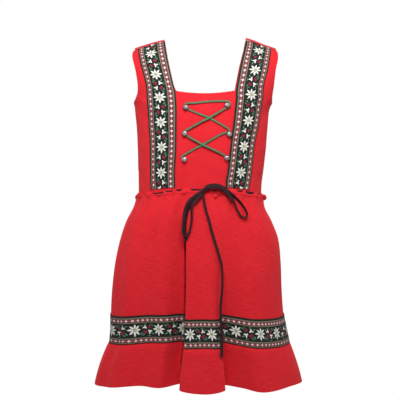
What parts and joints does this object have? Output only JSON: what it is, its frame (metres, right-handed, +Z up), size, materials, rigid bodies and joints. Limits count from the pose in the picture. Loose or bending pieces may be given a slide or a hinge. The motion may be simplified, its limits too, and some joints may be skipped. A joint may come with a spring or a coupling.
{
  "type": "dirndl",
  "caption": "Child's sleeveless dirndl in worn form: square-necked bodice with wide straps, edelweiss braid and front lacing, over a gathered skirt with a braid band, flounce and drawstring bow",
  "frame": {"origin": "midway between the tops of the two shoulder seams, where shoulders or a hanger carry the dress", "axes": "+Z up from hem to shoulders, -Y out of the laced front, +X to the right of the picture"},
  "size_m": [0.3639, 0.2732, 0.6015],
  "materials": {
    "red_cloth": "cotton crepe, matt with a soft sheen",
    "braid": "woven jacquard braid with white, pink, crimson and green motifs",
    "lacing": "flat woven cord",
    "ribbon": "dark matt ribbon",
    "buttons": "silver-coloured, patterned, darkened in its hollows"
  },
  "bodies": {
    "root": {"band_back": "braid", "band_front": "braid", "bodice_back": "red_cloth", "bodice_front": "red_cloth", "bow_knot": "ribbon", "bow_loop_left": "ribbon", "bow_loop_right": "ribbon", "button_left_1": "buttons", "button_left_2": "buttons", "button_left_3": "buttons", "button_right_1": "buttons", "button_right_2": "buttons", "button_right_3": "buttons", "drawstring_back": "ribbon", "drawstring_front": "ribbon", "flounce_back": "red_cloth", "flounce_front": "red_cloth", "lace_1": "lacing", "lace_2": "lacing", "lace_3": "lacing", "lace_4": "lacing", "lace_5": "lacing", "ribbon_tail_long": "ribbon", "ribbon_tail_short": "ribbon", "skirt_back": "red_cloth", "skirt_front": "red_cloth", "trim_left": "braid", "trim_right": "braid", "waist_frill_back": "red_cloth", "waist_frill_front": "red_cloth"}
  },
  "joints": []
}
